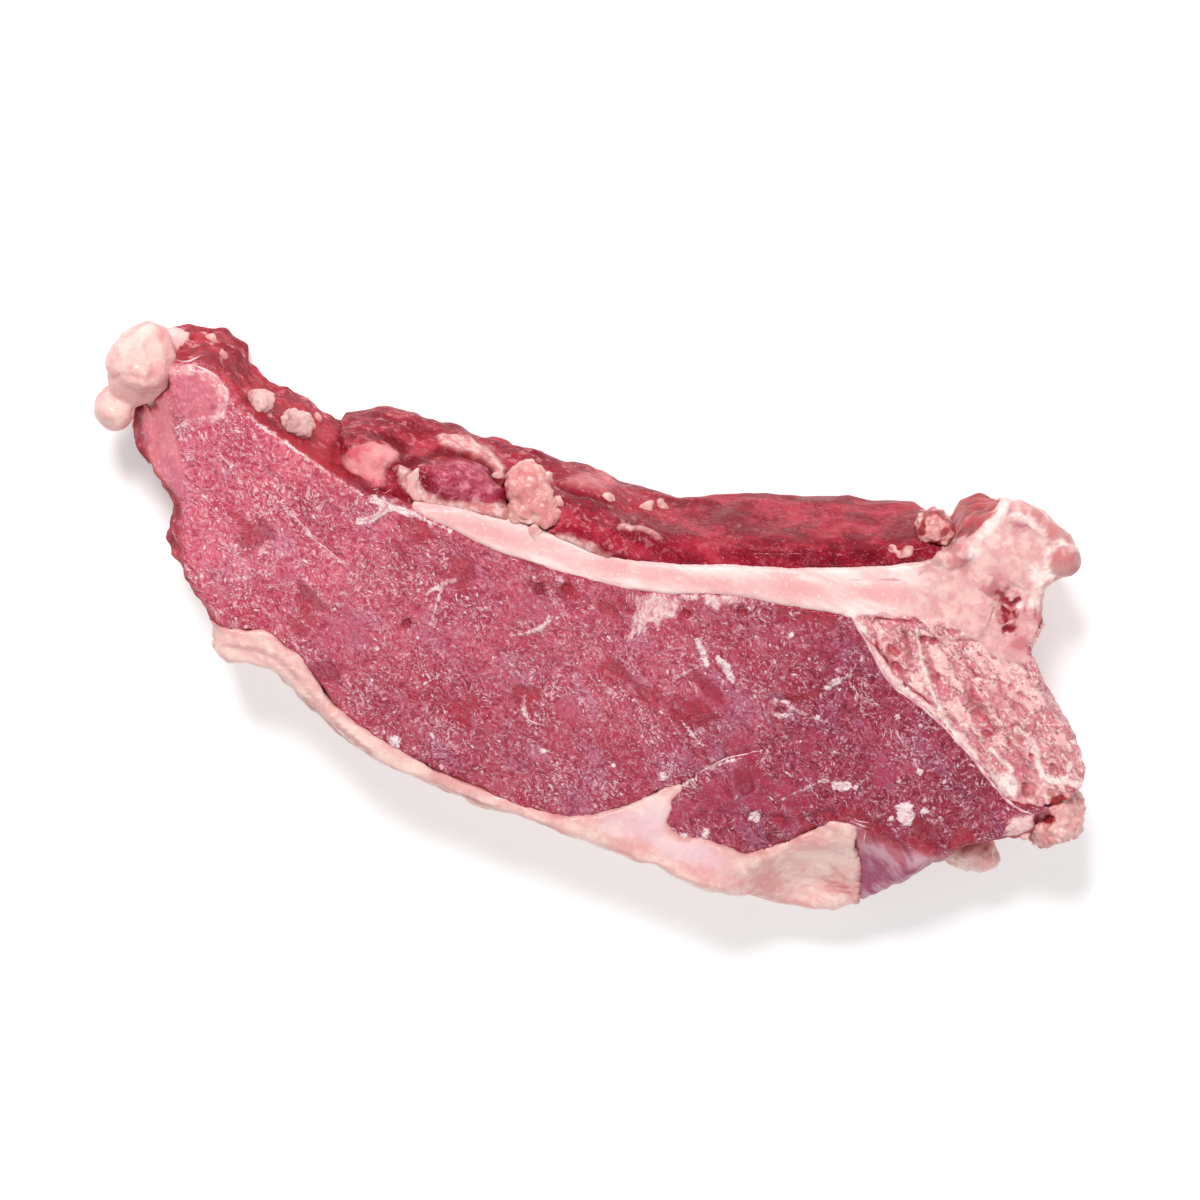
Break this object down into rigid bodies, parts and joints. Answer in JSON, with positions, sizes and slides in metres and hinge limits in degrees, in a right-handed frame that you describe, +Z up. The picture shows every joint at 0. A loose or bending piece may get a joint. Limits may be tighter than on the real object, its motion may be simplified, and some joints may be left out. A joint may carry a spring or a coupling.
{
  "type": "bone-in beef slice",
  "caption": "Thick raw beef slice with a T-shaped bone along one edge, a fat cap along the other, and knobs of fat at its tail.",
  "frame": {"origin": "on the table under the middle of the slice's bounding box", "axes": "+X from the thin tail to the backbone, +Y towards the cavity side, +Z up from the lower cut face"},
  "size_m": [0.248, 0.113, 0.0395],
  "materials": {
    "lean": "moist raw lean, crimson with pale grain",
    "bone": "sawn bone, ivory pink plate and red sponge",
    "fat": "cream fat, waxy",
    "membrane": "wet dark red inner meat under a thin skin"
  },
  "bodies": {
    "root": {"lean": "lean", "bone": "bone", "fat_cap": "fat", "cavity_meat": "membrane", "tip_fat": "fat", "corner_fat": "fat", "fat_flap": "fat", "cavity_fat_1": "fat", "cavity_fat_2": "fat", "cavity_fat_3": "fat", "cavity_fat_4": "fat"}
  },
  "joints": []
}
